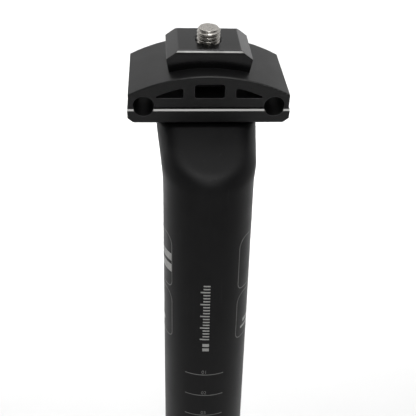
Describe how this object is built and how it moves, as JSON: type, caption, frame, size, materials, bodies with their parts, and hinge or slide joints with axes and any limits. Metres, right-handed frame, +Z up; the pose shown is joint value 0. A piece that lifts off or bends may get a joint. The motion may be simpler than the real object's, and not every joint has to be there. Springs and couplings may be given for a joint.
{
  "type": "seatpost",
  "caption": "Rigid bicycle seatpost: round tube flaring into a set-back head with a tilting saddle rail clamp, arched upper half and a through bolt with a wedge nut.",
  "frame": {"origin": "centre of the tube's open lower end", "axes": "+Z up the tube, +Y to the rear of the bicycle (the clamp sits behind the tube), +X across it"},
  "size_m": [0.055, 0.0543, 0.4222],
  "materials": {
    "post_anodised": "matte black anodised",
    "clamp_anodised": "satin black anodised",
    "nut_black": "satin black plated steel",
    "bolt_steel": "plain satin steel",
    "washer_steel": "zinc-plated steel"
  },
  "bodies": {
    "seatpost": {"post": "post_anodised"},
    "cradle": {"lower_cradle": "clamp_anodised", "rocker_washer": "washer_steel", "flat_washer": "washer_steel"},
    "bolt": {"clamp_bolt": "bolt_steel"},
    "top_clamp": {"upper_clamp": "clamp_anodised", "wedge_nut": "nut_black"}
  },
  "joints": [
    {"name": "clamp_tilt", "type": "hinge", "parent": "seatpost", "child": "cradle", "pos_m": [0, 0.01394, 0.41496], "axis": [1, 0, 0], "range_deg": [-7, 13]},
    {"name": "clamp_lift", "type": "slide", "parent": "cradle", "child": "top_clamp", "axis": [0, -0.2622, 0.965], "range_m": [0, 0.007]},
    {"name": "bolt_turn", "type": "hinge", "parent": "cradle", "child": "bolt", "pos_m": [0, 0.018, 0.4], "axis": [0, 0.2622, -0.965], "range_deg": [0, 2016]}
  ],
  "couplings": [
    {"joint": "bolt_turn", "follows": "clamp_lift", "rad_per_m": 5026.5}
  ]
}
